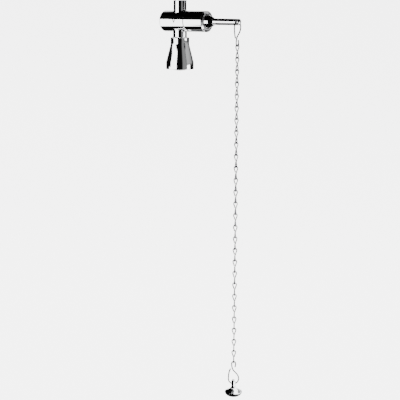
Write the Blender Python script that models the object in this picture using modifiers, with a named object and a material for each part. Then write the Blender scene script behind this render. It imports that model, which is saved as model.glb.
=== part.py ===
"""Emergency safety shower: a pull-chain tilt-lever valve with a bell shower head.

The origin is the centre of the inlet's top face, +Z is up, and the valve's axis runs along X with
the lever towards +X. The valve hangs from the supply pipe, and the chain hangs from the lever's end.
"""

import math

import bmesh
import bpy
from mathutils import Matrix, Vector

MM = 0.001
GAP = 0.3 * MM  # kept between neighbouring pieces

# valve body
AXIS_Z = -40 * MM  # height of the valve's axis
BODY_R = 20 * MM
BODY_LEFT = -36 * MM
BODY_RIGHT = 22 * MM
END_CHAMFER = 1.5 * MM
INLET_R = 12.65 * MM
OUTLET_R = 13.6 * MM
OUTLET_BOTTOM = -70.5 * MM
PIPE_BORE_R = 9.3 * MM  # minor radius of a G 1/2 inside thread
INLET_BORE_FLOOR = -16 * MM
OUTLET_BORE_TOP = -60 * MM
CHAMBER_R = 15 * MM
SEAT_WALL = 3 * MM  # half the thickness of the wall between the chambers
SEAT_HOLE_R = 7.5 * MM
PORT_NEAR = 3.5 * MM  # the ports' nearer and further sides, from the pipe's axis
PORT_FAR = 8 * MM
PORT_HALF_WIDTH = 5 * MM
MARK_SIZE = 8 * MM  # the flow mark's height
MARK_DEPTH = 0.6 * MM

# closed end
PLUG_FACE = -35.5 * MM
PLUG_INNER = -28 * MM
SPIGOT_R = CHAMBER_R - GAP
SEAL_R = 13.95 * MM  # seals on the plug and on the bonnet's spigot
SEAL_WIRE_R = 0.75 * MM
SEAL_GROOVE_R = 12.9 * MM
SEAL_GROOVE_HALF = 1.2 * MM
PLUG_SEAL_X = -32 * MM
BONNET_SEAL_X = 16.2 * MM
PLUG_KEY_R = 5 * MM

# bonnet, gland and retaining ring
BONNET_SPIGOT_START = 12 * MM
BONNET_START = BODY_RIGHT + GAP
BONNET_END = 64.2 * MM
SPRING_ROOM_START = 32 * MM
SPRING_ROOM_R = 15.4 * MM
GLAND_START = 24 * MM
GLAND_R = 7.6 * MM
GLAND_SEAL_X = 25.5 * MM
GLAND_SEAL_R = 5.8 * MM
GLAND_SEAL_WIRE_R = 1.2 * MM
GLAND_HEX_R = 9 * MM
GLAND_HEX_END = 35.5 * MM
RING_START = BONNET_END + GAP
RING_FACE = 66.5 * MM
RING_FACE_R = 16.5 * MM  # where the broad chamfer meets the face
RING_CHAMFER_START = 65 * MM
RING_R = 20 * MM
RING_BORE_R = 13.8 * MM  # the lip's bore, which the lever's head stands in
RING_SKIRT_R = 17.2 * MM
RING_SKIRT_START = 58 * MM

# stem and disc
STEM_R = 4 * MM
STEM_BORE_R = 4.3 * MM
STEM_END_R = 3 * MM
STEM_LEFT = -16.5 * MM
DISC_R = 12.5 * MM
DISC_BACK = -11 * MM
DISC_RIM = -5 * MM
WASHER_R = 11 * MM
WASHER_BACK = -6.5 * MM
NUT_R = 6.2 * MM
NUT_THICK = 3.4 * MM
TENON_R = 2.7 * MM
PLATE_START = 56.6 * MM
PLATE_END = 58.6 * MM
PLATE_R = 12 * MM
PLATE_BOSS_R = 6 * MM
PLATE_BOSS_END = 60.6 * MM

# springs
CLOSING_SPRING_R = 9.5 * MM
CLOSING_WIRE_R = 0.7 * MM
RETURN_SPRING_R = 11 * MM
RETURN_WIRE_R = 0.8 * MM
COIL_SIDES = 10  # straight pieces in one turn of a spring
COIL_CLOSING = 0.6  # how much closer the end turns lie than the middle ones

# lever: its flange rocks on the top of its front edge, against the back of the ring's lip
FLANGE_R = 14.6 * MM
FLANGE_START = 60.9 * MM
FLANGE_END = BONNET_END - GAP
ROCK_Z = AXIS_Z + FLANGE_R
SHANK_R = 12.9 * MM
NOSE_START = RING_FACE
NOSE_FULLNESS = (  # (radius, place) of the two control points of the nose's curve
    (9.5 * MM, 78.6 * MM),
    (11.65 * MM, 72.4 * MM),
)
NOSE_END_R = 6.5 * MM
ROD_START = 82.6 * MM
ROD_START_R = 6.35 * MM
ROD_END = 142.2 * MM
ROD_END_R = 6 * MM
ROD_ROUND = 1.2 * MM
STUD_R = 4 * MM
STUD_START = 67 * MM
HANG_X = 136 * MM  # the chain hangs below this point of the lever
ROD_HOLE_R = 2.7 * MM

# S-hooks
HOOK_WIRE_R = 1.3 * MM
HOOK_HEIGHT = 45.5 * MM
HOOK_BIG_R = 10 * MM
HOOK_SMALL_R = 3.8 * MM
HOOK_TIP_DOWN = 30.5 * MM  # the big loop's tip, below the top
HOOK_SIDE_DOWN = 25 * MM  # where the big loop's open side starts to bend inwards
HOOK_BEND_DOWN = 33 * MM  # where the crossing strand turns down into the small loop
UPPER_HOOK_TOP = AXIS_Z + 1.06 * MM

# chain
LINKS = 27
LINK_WIRE_R = 1.1 * MM
LINK_HALF_WIDTH = 3.5 * MM
LINK_PITCH = 22.9 * MM
LINK_TOUCH = 2 * LINK_WIRE_R + GAP  # between the centres of two wires that meet
LINK_HEIGHT = LINK_PITCH + LINK_TOUCH
LINK_WAIST = LINK_WIRE_R + GAP / 2  # half the distance between the strands at the waist
LINK_WAIST_SHARE = 0.1  # how much of a loop's length lies below its narrowest place
HOOK_TOUCH = HOOK_WIRE_R + LINK_WIRE_R + GAP
CHAIN_TWIST = math.radians(37)  # from the first link to the lower hook

# pull knob
KNOB_TOP = -736.5 * MM
KNOB_BOTTOM = -771 * MM
KNOB_STEM_R = 4 * MM
KNOB_R = 17.2 * MM
KNOB_RIM = -761.3 * MM
KNOB_FLARE = -750 * MM
KNOB_FOOT_R = 5 * MM
KNOB_FLARE_FULLNESS = (0.5 * MM, 5.5 * MM)  # out from the stem, and below the flare's start
KNOB_SHOULDER = (5 * MM, 2.5 * MM)  # in from the rim's edge, and above it
KNOB_RIM_ROUND = 0.5 * MM
KNOB_RIM_HALF = 0.5 * MM
KNOB_UNDER = (10 * MM, 5.5 * MM)  # the underside's roundness: a radius, and a depth below the rim
KNOB_HOLE_R = 2.1 * MM
KNOB_HOLE_ABOVE_WIRE = 0.34 * MM

# shower head
NIPPLE_R = 9 * MM
NIPPLE_BORE_R = 6.5 * MM
NIPPLE_TOP = -61 * MM
NIPPLE_BOTTOM = -76 * MM
FLOW_CONTROL_TOP = -66 * MM
FLOW_CONTROL_BOTTOM = -68 * MM
FLOW_HOLES = 5
FLOW_HOLE_RING_R = 3.6 * MM
FLOW_HOLE_R = 1.4 * MM
GASKET_INNER_R = 7.3 * MM
GASKET_OUTER_R = 8.8 * MM
GASKET_BOTTOM = -77.7 * MM
BELL_TOP = -70.8 * MM
BELL_BOTTOM = -132 * MM
BELL_COLLAR_R = 18.25 * MM
BELL_COLLAR_BOTTOM = -84.3 * MM
BELL_RIM_R = 27.15 * MM
BELL_RIM_TOP = -119 * MM
BELL_SHOULDER = 2 * MM
BELL_RIM_ROUND = 0.8 * MM
BELL_NECK_BORE_R = 7 * MM
BELL_ROOM_TOP = -80 * MM  # the water room: a round top part, then a cone down to a step
BELL_ROOM_TOP_R = 15 * MM
BELL_ROOM_CONE = -85.5 * MM
BELL_ROOM_STEP = -119.5 * MM
BELL_ROOM_STEP_R = 23 * MM
PLATE_SEAT_TOP = -124.5 * MM
PLATE_SEAT_R = 24.5 * MM
SPRAY_SEAL_INNER_R = 23.2 * MM
SPRAY_PLATE_R = 24.2 * MM
SPRAY_LOW = -135 * MM
SPRAY_DOME_R = 51 * MM
SPRAY_THICK = 2.6 * MM
SPRAY_RINGS = ((8.5 * MM, 8), (16.5 * MM, 16))  # ring radius, holes in it
SPRAY_HOLE_R = 1.1 * MM

FINE = 32  # sides of the large round pieces
PLAIN = 24
SMALL = 12


def clear_scene():
    for thing in list(bpy.data.objects):
        bpy.data.objects.remove(thing, do_unlink=True)


def new_collection(name):
    collection = bpy.data.collections.new(name)
    bpy.context.scene.collection.children.link(collection)
    return collection


def finish_material(name, colour, roughness, metallic):
    material = bpy.data.materials.new(name)
    material.use_nodes = True
    shader = material.node_tree.nodes["Principled BSDF"]
    shader.inputs["Base Color"].default_value = (*colour, 1.0)
    shader.inputs["Roughness"].default_value = roughness
    shader.inputs["Metallic"].default_value = metallic
    return material


clear_scene()
PARTS = new_collection("emergency_safety_shower")
CUTTERS = new_collection("cutters")

CHROME = finish_material("chrome", (0.86, 0.87, 0.88), 0.06, 1.0)
SATIN = finish_material("satin_nickel", (0.55, 0.56, 0.57), 0.35, 1.0)
BRASS = finish_material("brass", (0.78, 0.6, 0.3), 0.3, 1.0)
STEEL = finish_material("spring_steel", (0.6, 0.61, 0.63), 0.3, 1.0)
RUBBER = finish_material("rubber", (0.03, 0.03, 0.03), 0.8, 0.0)


def add_object(name, data, material=None, collection=None):
    thing = bpy.data.objects.new(name, data)
    (collection or PARTS).objects.link(thing)
    if material:
        data.materials.append(material)
    return thing


def arc(centre, radius, start, end, steps):
    """Points (r, h) along a round stretch of a profile, with its angles in degrees."""
    points = []
    for i in range(steps + 1):
        a = math.radians(start + (end - start) * i / steps)
        points.append((centre[0] + radius * math.cos(a), centre[1] + radius * math.sin(a)))
    return points


def turned(name, profile, material=None, ring=False, along_x=False, steps=PLAIN, x=0.0, collection=None):
    """A turned solid from a profile of (radius, place along the axis), outer side first to last.

    The profile runs against the axis on its outer side. A ring's profile is closed, and any other
    profile starts and ends on the axis.
    """
    mesh = bpy.data.meshes.new(name)
    count = len(profile)
    edges = [(i, i + 1) for i in range(count - 1)]
    if ring:
        edges.append((count - 1, 0))
    mesh.from_pydata([(r, 0, h) for r, h in profile], edges, [])
    thing = add_object(name, mesh, material, collection)
    if along_x:
        thing.location = (0, 0, AXIS_Z)
        thing.rotation_euler = (0, math.radians(90), 0)
    else:
        thing.location = (x, 0, 0)
    screw = thing.modifiers.new("turn", "SCREW")
    screw.axis = "Z"
    screw.steps = steps
    screw.render_steps = steps
    screw.use_merge_vertices = True
    screw.merge_threshold = 0.00001
    screw.use_smooth_shade = True
    return thing


def rod(name, radius, start, end, sides=SMALL, material=None, collection=None):
    """A cylinder between two points."""
    start, end = Vector(start), Vector(end)
    form = bmesh.new()
    bmesh.ops.create_cone(
        form, cap_ends=True, segments=sides, radius1=radius, radius2=radius, depth=(end - start).length
    )
    mesh = bpy.data.meshes.new(name)
    form.to_mesh(mesh)
    form.free()
    thing = add_object(name, mesh, material, collection)
    thing.location = (start + end) / 2
    thing.rotation_euler = (end - start).to_track_quat("Z", "Y").to_euler()
    return thing


def block(name, low, high, collection=None):
    """A box between two corners."""
    low, high = Vector(low), Vector(high)
    form = bmesh.new()
    bmesh.ops.create_cube(form, size=1.0)
    bmesh.ops.scale(form, vec=high - low, verts=form.verts)
    mesh = bpy.data.meshes.new(name)
    form.to_mesh(mesh)
    form.free()
    thing = add_object(name, mesh, None, collection)
    thing.location = (low + high) / 2
    return thing


def as_tool(thing):
    thing.hide_render = True
    thing.display_type = "WIRE"
    return thing


def combine(target, tool, operation):
    boolean = target.modifiers.new(operation.lower() + " " + tool.name, "BOOLEAN")
    boolean.operation = operation
    boolean.solver = "EXACT"
    boolean.object = as_tool(tool)


def cut(target, *tools):
    for tool in tools:
        combine(target, tool, "DIFFERENCE")


def join(target, *tools):
    for tool in tools:
        combine(target, tool, "UNION")


def wire(name, points, radius, material, sides_step=2):
    """A wire through the points, with closed ends."""
    curve = bpy.data.curves.new(name, "CURVE")
    curve.dimensions = "3D"
    curve.bevel_depth = radius
    curve.bevel_resolution = sides_step
    curve.use_fill_caps = True
    spline = curve.splines.new("POLY")
    spline.points.add(len(points) - 1)
    for place, point in zip(spline.points, points):
        place.co = (*point, 1.0)
    return add_object(name, curve, material)


def pivot(name, at, parent=None):
    """An empty on a joint's axis, which carries the pieces that move with it."""
    empty = bpy.data.objects.new(name, None)
    PARTS.objects.link(empty)
    empty.location = at
    if parent:
        empty.parent = parent
        empty.location = Vector(at) - world_place(parent)
    return empty


def world_place(empty):
    place = Vector(empty.location)
    while empty.parent:
        empty = empty.parent
        place += Vector(empty.location)
    return place


def carry(empty, *pieces):
    for piece in pieces:
        piece.parent = empty
        piece.matrix_parent_inverse = Matrix.Translation(-world_place(empty))


def bezier(p0, p1, p2, p3, steps):
    """Points after p0 along a cubic curve, up to and with p3."""
    points = []
    for i in range(1, steps + 1):
        t = i / steps
        s = 1 - t
        weights = (s**3, 3 * s * s * t, 3 * s * t * t, t**3)
        points.append(
            tuple(sum(w * p[k] for w, p in zip(weights, (p0, p1, p2, p3))) for k in range(2))
        )
    return points


# ---------------------------------------------------------------- valve body and its closed end


def valve_body():
    body = turned(
        "valve_body",
        [
            (0, BODY_RIGHT),
            (BODY_R - END_CHAMFER / 4, BODY_RIGHT),
            (BODY_R, BODY_RIGHT - END_CHAMFER / 4),
            (BODY_R, BODY_LEFT + END_CHAMFER),
            (BODY_R - END_CHAMFER, BODY_LEFT),
            (0, BODY_LEFT),
        ],
        CHROME,
        along_x=True,
        steps=FINE,
    )
    inlet = rod("inlet_stub", INLET_R, (0, 0, AXIS_Z), (0, 0, 0), FINE, collection=CUTTERS)
    outlet = rod("outlet_neck", OUTLET_R, (0, 0, AXIS_Z), (0, 0, OUTLET_BOTTOM), FINE, collection=CUTTERS)
    join(body, inlet, outlet)

    past = 2 * MM  # how far a cutter runs past the face that it opens
    upstream = rod(
        "upstream_chamber",
        CHAMBER_R,
        (BODY_LEFT - past, 0, AXIS_Z),
        (-SEAT_WALL, 0, AXIS_Z),
        PLAIN,
        collection=CUTTERS,
    )
    downstream = rod(
        "downstream_chamber",
        CHAMBER_R,
        (SEAT_WALL, 0, AXIS_Z),
        (BODY_RIGHT + past, 0, AXIS_Z),
        PLAIN,
        collection=CUTTERS,
    )
    seat = rod(
        "seat_hole",
        SEAT_HOLE_R,
        (-2 * SEAT_WALL, 0, AXIS_Z),
        (2 * SEAT_WALL, 0, AXIS_Z),
        PLAIN,
        collection=CUTTERS,
    )
    inlet_bore = rod(
        "inlet_bore", PIPE_BORE_R, (0, 0, INLET_BORE_FLOOR), (0, 0, past), PLAIN, collection=CUTTERS
    )
    outlet_bore = rod(
        "outlet_bore",
        PIPE_BORE_R,
        (0, 0, OUTLET_BORE_TOP),
        (0, 0, OUTLET_BOTTOM - past),
        PLAIN,
        collection=CUTTERS,
    )
    inlet_port = block(
        "inlet_port",
        (-PORT_FAR, -PORT_HALF_WIDTH, AXIS_Z + CHAMBER_R - past),
        (-PORT_NEAR, PORT_HALF_WIDTH, INLET_BORE_FLOOR + past),
        CUTTERS,
    )
    outlet_port = block(
        "outlet_port",
        (PORT_NEAR, -PORT_HALF_WIDTH, OUTLET_BORE_TOP - past),
        (PORT_FAR, PORT_HALF_WIDTH, AXIS_Z - CHAMBER_R + past),
        CUTTERS,
    )
    cut(body, upstream, downstream, seat, inlet_bore, outlet_bore, inlet_port, outlet_port)
    cut(body, flow_mark())


def flow_mark():
    """The cutter of a shallow V on the front of the body, which points along the flow."""
    half = MARK_SIZE / 2
    stroke = MARK_SIZE / 6
    outline = [
        (-half, half),
        (0, -half),
        (half, half),
        (half - 1.3 * stroke, half),
        (0, -half + 2.6 * stroke),
        (-half + 1.3 * stroke, half),
    ]
    form = bmesh.new()
    depth_room = 2 * MM
    corners = [form.verts.new((x, -BODY_R - depth_room, AXIS_Z + z)) for x, z in outline]
    face = form.faces.new(corners)
    grown = bmesh.ops.extrude_face_region(form, geom=[face])
    moved = [g for g in grown["geom"] if isinstance(g, bmesh.types.BMVert)]
    bmesh.ops.translate(form, verts=moved, vec=(0, depth_room + MARK_DEPTH, 0))
    bmesh.ops.recalc_face_normals(form, faces=form.faces)
    mesh = bpy.data.meshes.new("flow_mark")
    form.to_mesh(mesh)
    form.free()
    return add_object("flow_mark", mesh, None, CUTTERS)


def seal_groove(x):
    """The profile points of a seal's groove, from its right side to its left."""
    return [
        (SPIGOT_R, x + SEAL_GROOVE_HALF),
        (SEAL_GROOVE_R, x + SEAL_GROOVE_HALF),
        (SEAL_GROOVE_R, x - SEAL_GROOVE_HALF),
        (SPIGOT_R, x - SEAL_GROOVE_HALF),
    ]


def seal_ring(name, radius, wire_radius, x):
    profile = arc((radius, x), wire_radius, 90, -210, 5)
    turned(name, profile, RUBBER, ring=True, along_x=True, steps=20)


def end_plug():
    plug = turned(
        "end_plug",
        [
            (0, PLUG_INNER),
            (SPIGOT_R, PLUG_INNER),
            *seal_groove(PLUG_SEAL_X),
            (SPIGOT_R, PLUG_FACE),
            (0, PLUG_FACE),
        ],
        CHROME,
        along_x=True,
    )
    key = rod(
        "plug_key",
        PLUG_KEY_R,
        (PLUG_FACE - 1 * MM, 0, AXIS_Z),
        (PLUG_FACE + 4 * MM, 0, AXIS_Z),
        6,
        collection=CUTTERS,
    )
    cut(plug, key)
    seal_ring("end_plug_seal", SEAL_R, SEAL_WIRE_R, PLUG_SEAL_X)


def coil(name, radius, wire_radius, start, end, turns):
    """A spring along X between two places, with its last turns closed up at both ends."""
    count = turns * COIL_SIDES
    low, high = start + wire_radius, end - wire_radius
    points = []
    for i in range(count + 1):
        t = i / count
        eased = t - COIL_CLOSING * math.sin(2 * math.pi * t) / (2 * math.pi)
        angle = 2 * math.pi * turns * t
        points.append(
            (low + (high - low) * eased, radius * math.cos(angle), AXIS_Z + radius * math.sin(angle))
        )
    return wire(name, points, wire_radius, STEEL, sides_step=1)


# ---------------------------------------------------------------- bonnet, gland and retaining ring


def bonnet():
    lip = 0.4 * MM
    counterbore_r = RING_SKIRT_R + GAP
    counterbore = RING_SKIRT_START - GAP
    turned(
        "bonnet",
        [
            (counterbore_r, BONNET_END),
            (BODY_R, BONNET_END),
            (BODY_R, BONNET_START + lip),
            (BODY_R - lip, BONNET_START),
            (SPIGOT_R, BONNET_START),
            *seal_groove(BONNET_SEAL_X),
            (SPIGOT_R, BONNET_SPIGOT_START),
            (STEM_BORE_R, BONNET_SPIGOT_START),
            (STEM_BORE_R, GLAND_START),
            (GLAND_R, GLAND_START),
            (GLAND_R, SPRING_ROOM_START),
            (SPRING_ROOM_R, SPRING_ROOM_START),
            (SPRING_ROOM_R, counterbore),
            (counterbore_r, counterbore),
        ],
        CHROME,
        ring=True,
        along_x=True,
        steps=FINE,
    )
    seal_ring("bonnet_seal", SEAL_R, SEAL_WIRE_R, BONNET_SEAL_X)
    seal_ring("gland_seal", GLAND_SEAL_R, GLAND_SEAL_WIRE_R, GLAND_SEAL_X)


def gland_nut():
    nut = rod(
        "gland_nut",
        GLAND_HEX_R,
        (SPRING_ROOM_START + GAP, 0, AXIS_Z),
        (GLAND_HEX_END, 0, AXIS_Z),
        6,
        BRASS,
    )
    shank = rod(
        "gland_shank",
        GLAND_R - GAP,
        (GLAND_SEAL_X + 1.5 * MM, 0, AXIS_Z),
        (SPRING_ROOM_START + 1 * MM, 0, AXIS_Z),
        24,
        collection=CUTTERS,
    )
    bore = rod(
        "gland_bore",
        STEM_BORE_R,
        (GLAND_START, 0, AXIS_Z),
        (GLAND_HEX_END + 1 * MM, 0, AXIS_Z),
        24,
        collection=CUTTERS,
    )
    join(nut, shank)
    cut(nut, bore)


def retaining_ring():
    """The gray ring whose lip keeps the lever's flange in. Its skirt threads into the bonnet."""
    turned(
        "retaining_ring",
        [
            (RING_BORE_R, RING_FACE),
            (RING_FACE_R, RING_FACE),
            (RING_R, RING_CHAMFER_START),
            (RING_R, RING_START),
            (RING_SKIRT_R, RING_START),
            (RING_SKIRT_R, RING_SKIRT_START),
            (SPRING_ROOM_R, RING_SKIRT_START),
            (SPRING_ROOM_R, BONNET_END),
            (RING_BORE_R, BONNET_END),
        ],
        SATIN,
        ring=True,
        along_x=True,
        steps=FINE,
    )


# ---------------------------------------------------------------- stem, disc and push plate


def stem_group():
    tenon_end = PLATE_BOSS_END - GAP
    shoulder = PLATE_START - GAP
    stem = turned(
        "stem",
        [
            (0, tenon_end),
            (TENON_R, tenon_end),
            (TENON_R, shoulder),
            (STEM_R, shoulder),
            (STEM_R, -SEAT_WALL),
            (STEM_END_R, -SEAT_WALL),
            (STEM_END_R, STEM_LEFT),
            (0, STEM_LEFT),
        ],
        STEEL,
        along_x=True,
        steps=SMALL,
    )
    plate = turned(
        "push_plate",
        [
            (TENON_R + GAP, PLATE_BOSS_END),
            (PLATE_BOSS_R, PLATE_BOSS_END),
            (PLATE_BOSS_R, PLATE_END),
            (PLATE_R, PLATE_END),
            (PLATE_R, PLATE_START),
            (TENON_R + GAP, PLATE_START),
        ],
        STEEL,
        ring=True,
        along_x=True,
        steps=24,
    )
    bore_r = STEM_END_R + GAP
    washer = turned(
        "seat_washer",
        [
            (bore_r, -SEAT_WALL - GAP),
            (WASHER_R, -SEAT_WALL - GAP),
            (WASHER_R, WASHER_BACK),
            (bore_r, WASHER_BACK),
        ],
        RUBBER,
        ring=True,
        along_x=True,
        steps=24,
    )
    disc = turned(
        "valve_disc",
        [
            (WASHER_R + GAP, DISC_RIM),
            (DISC_R, DISC_RIM),
            (DISC_R, DISC_BACK),
            (bore_r, DISC_BACK),
            (bore_r, WASHER_BACK - GAP),
            (WASHER_R + GAP, WASHER_BACK - GAP),
        ],
        BRASS,
        ring=True,
        along_x=True,
        steps=24,
    )
    nut_start = DISC_BACK - GAP
    nut = rod(
        "disc_nut",
        NUT_R,
        (nut_start - NUT_THICK, 0, AXIS_Z),
        (nut_start, 0, AXIS_Z),
        6,
        STEEL,
    )
    nut_bore = rod(
        "disc_nut_bore",
        bore_r,
        (nut_start - NUT_THICK - 1 * MM, 0, AXIS_Z),
        (nut_start + 1 * MM, 0, AXIS_Z),
        SMALL,
        collection=CUTTERS,
    )
    cut(nut, nut_bore)
    guide = pivot("stem_guide", (0, 0, AXIS_Z))
    carry(guide, stem, plate, washer, disc, nut, nut_bore)


# ---------------------------------------------------------------- lever


def lever_group():
    seat = ROD_START - GAP
    bore_r = STUD_R + GAP
    nose = bezier((NOSE_END_R, seat), *NOSE_FULLNESS, (SHANK_R, NOSE_START), 8)
    head = turned(
        "lever_head",
        [
            (0, STUD_START - 2 * GAP),
            (bore_r, STUD_START - 2 * GAP),
            (bore_r, seat),
            (NOSE_END_R, seat),
            *nose,
            (SHANK_R, FLANGE_END),
            (FLANGE_R, FLANGE_END),
            (FLANGE_R, FLANGE_START),
            (0, FLANGE_START),
        ],
        CHROME,
        along_x=True,
        steps=28,
    )
    bar = turned(
        "lever_rod",
        [
            (0, ROD_END),
            *arc((ROD_END_R - ROD_ROUND, ROD_END - ROD_ROUND), ROD_ROUND, 90, 0, 3),
            (ROD_START_R, ROD_START),
            (STUD_R, ROD_START),
            (STUD_R, STUD_START),
            (0, STUD_START),
        ],
        CHROME,
        along_x=True,
    )
    across = 2 * ROD_START_R
    hole = rod(
        "hook_hole",
        ROD_HOLE_R,
        (HANG_X, -across, AXIS_Z),
        (HANG_X, across, AXIS_Z),
        24,
        collection=CUTTERS,
    )
    cut(bar, hole)
    rocker = pivot("lever_pivot", (FLANGE_END, 0, ROCK_Z))
    carry(rocker, head, bar, hole)
    return rocker


# ---------------------------------------------------------------- hooks, chain and knob


def hook_outline():
    """Half-open S from the big loop's tip to the small loop's tip, as (across, down from the top)."""
    big, small = HOOK_BIG_R, HOOK_SMALL_R
    bottom_centre = -HOOK_HEIGHT + small
    tip = (-0.62 * big, -HOOK_TIP_DOWN)
    left_side = bezier(tip, (-0.95 * big, -HOOK_SIDE_DOWN), (-big, -1.7 * big), (-big, -big), 4)
    top = arc((0, -big), big, 180, 0, 10)
    bend = (-0.75 * small, -HOOK_BEND_DOWN)
    crossing = bezier((big, -big), (big, -2.2 * big), (-0.3 * small, -2.4 * big), bend, 7)
    low = bottom_centre + small
    down = bezier(bend, (-small, low - 0.1 * small), (-small, low - 0.5 * small), (-small, bottom_centre), 2)
    bottom = arc((0, bottom_centre), small, 180, 360, 6)
    end = (0.7 * small, bottom_centre + 1.9 * small)
    rising = bezier(
        (small, bottom_centre), (small, low - 0.4 * small), (0.95 * small, low + 0.3 * small), end, 3
    )
    return [tip, *left_side[:-1], *top, *crossing, *down, *bottom[1:], *rising]


def hook(name, flipped=False):
    """An S-hook in its own XZ plane, with its top at its origin, or upside down with its bottom there."""
    turn = -1 if flipped else 1
    points = [(a, 0, turn * d) for a, d in hook_outline()]
    return wire(name, points, HOOK_WIRE_R, CHROME, sides_step=1)


def link_path():
    """A link's wire: down one loop's side, and round both loops, which stand square to each other."""
    half = LINK_HEIGHT / 2
    r = LINK_HALF_WIDTH

    def side(step, steps):
        """How far a strand stands off the axis, and how far above the waist."""
        t = step / steps
        blend = (1 - math.cos(math.pi * t)) / 2
        height = LINK_WAIST_SHARE + (1 - LINK_WAIST_SHARE) * t
        return LINK_WAIST + (r - LINK_WAIST) * blend, (half - r) * height

    upper = [(-side(s, 2)[0], side(s, 2)[1]) for s in range(2)]
    upper += arc((0, half - r), r, 180, 0, 4)
    upper += [(side(s, 2)[0], side(s, 2)[1]) for s in (1, 0)]
    path = [(a, 0, h - half) for a, h in upper]
    path += [(0, a, -h - half) for a, h in reversed(upper)]
    return path


def chain(parent):
    """The upper hook, the links, the lower hook and the knob, each on its own pivot."""
    square = math.radians(90)
    swing = pivot("upper_hook_pivot", (HANG_X, 0, AXIS_Z), parent)
    top = hook("upper_hook")
    top.location = (HANG_X, 0, UPPER_HOOK_TOP)
    top.rotation_euler = (0, 0, square)
    carry(swing, top)

    link_top = UPPER_HOOK_TOP - HOOK_HEIGHT + HOOK_TOUCH
    shared = None
    for i in range(LINKS):
        name = f"chain_link_{i + 1:02d}"
        touch = HOOK_TOUCH if i == 0 else LINK_TOUCH
        below = touch if i % 2 == 0 else 0
        swing = pivot(f"link_pivot_{i + 1:02d}", (HANG_X, 0, link_top - below), swing)
        if shared is None:
            link = wire(name, link_path(), LINK_WIRE_R, CHROME, sides_step=1)
            shared = link.data
        else:
            link = add_object(name, shared)
        link.location = (HANG_X, 0, link_top)
        link.rotation_euler = (0, 0, CHAIN_TWIST * i / (LINKS - 1))
        carry(swing, link)
        link_top -= LINK_PITCH

    last_bottom = link_top + LINK_PITCH - LINK_HEIGHT
    hook_top = last_bottom + HOOK_TOUCH
    hook_bottom = hook_top - HOOK_HEIGHT
    swing = pivot("lower_hook_pivot", (HANG_X, 0, hook_top), swing)
    bottom = hook("lower_hook", flipped=True)
    bottom.location = (HANG_X, 0, hook_bottom)
    bottom.rotation_euler = (0, 0, CHAIN_TWIST)
    carry(swing, bottom)

    hole_z = hook_bottom + KNOB_HOLE_ABOVE_WIRE
    swing = pivot("knob_pivot", (HANG_X, 0, hole_z), swing)
    pull_knob(swing, hole_z)


def pull_knob(swing, hole_z):
    dome = arc((0, KNOB_TOP - KNOB_STEM_R), KNOB_STEM_R, 90, 0, 3)
    dome[0] = (0, KNOB_TOP)
    cone = bezier(
        (KNOB_STEM_R, KNOB_FLARE),
        (KNOB_STEM_R + KNOB_FLARE_FULLNESS[0], KNOB_FLARE - KNOB_FLARE_FULLNESS[1]),
        (KNOB_R - KNOB_SHOULDER[0], KNOB_RIM + KNOB_SHOULDER[1]),
        (KNOB_R - KNOB_RIM_ROUND, KNOB_RIM + KNOB_RIM_HALF),
        5,
    )
    under = bezier(
        (KNOB_R, KNOB_RIM - KNOB_RIM_HALF),
        (KNOB_R - KNOB_RIM_ROUND, KNOB_RIM - KNOB_UNDER[1]),
        (KNOB_UNDER[0], KNOB_BOTTOM),
        (KNOB_FOOT_R, KNOB_BOTTOM),
        5,
    )
    knob = turned(
        "pull_knob",
        [
            *dome,
            (KNOB_STEM_R, KNOB_FLARE),
            *cone,
            (KNOB_R, KNOB_RIM - KNOB_RIM_HALF),
            *under,
            (0, KNOB_BOTTOM),
        ],
        CHROME,
        x=HANG_X,
        steps=24,
    )
    across = Vector((math.cos(CHAIN_TWIST), math.sin(CHAIN_TWIST), 0)) * 2 * KNOB_STEM_R
    centre = Vector((HANG_X, 0, hole_z))
    hole = rod("knob_hole", KNOB_HOLE_R, centre - across, centre + across, 20, collection=CUTTERS)
    cut(knob, hole)
    carry(swing, knob, hole)


# ---------------------------------------------------------------- shower head


def head_nipple():
    turned(
        "head_nipple",
        [
            (NIPPLE_BORE_R, NIPPLE_TOP),
            (NIPPLE_R, NIPPLE_TOP),
            (NIPPLE_R, NIPPLE_BOTTOM),
            (NIPPLE_BORE_R, NIPPLE_BOTTOM),
        ],
        CHROME,
        ring=True,
    )
    turned(
        "nipple_gasket",
        [
            (GASKET_INNER_R, NIPPLE_BOTTOM - GAP),
            (GASKET_OUTER_R, NIPPLE_BOTTOM - GAP),
            (GASKET_OUTER_R, GASKET_BOTTOM),
            (GASKET_INNER_R, GASKET_BOTTOM),
        ],
        RUBBER,
        ring=True,
        steps=24,
    )
    disc = turned(
        "flow_control",
        [
            (0, FLOW_CONTROL_TOP),
            (NIPPLE_BORE_R - GAP, FLOW_CONTROL_TOP),
            (NIPPLE_BORE_R - GAP, FLOW_CONTROL_BOTTOM),
            (0, FLOW_CONTROL_BOTTOM),
        ],
        BRASS,
        steps=16,
    )
    for i in range(FLOW_HOLES):
        angle = 2 * math.pi * i / FLOW_HOLES
        x = FLOW_HOLE_RING_R * math.cos(angle)
        y = FLOW_HOLE_RING_R * math.sin(angle)
        low = (x, y, FLOW_CONTROL_BOTTOM - 1 * MM)
        high = (x, y, FLOW_CONTROL_TOP + 1 * MM)
        cut(disc, rod(f"flow_hole_{i + 1}", FLOW_HOLE_R, low, high, 8, collection=CUTTERS))


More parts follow.
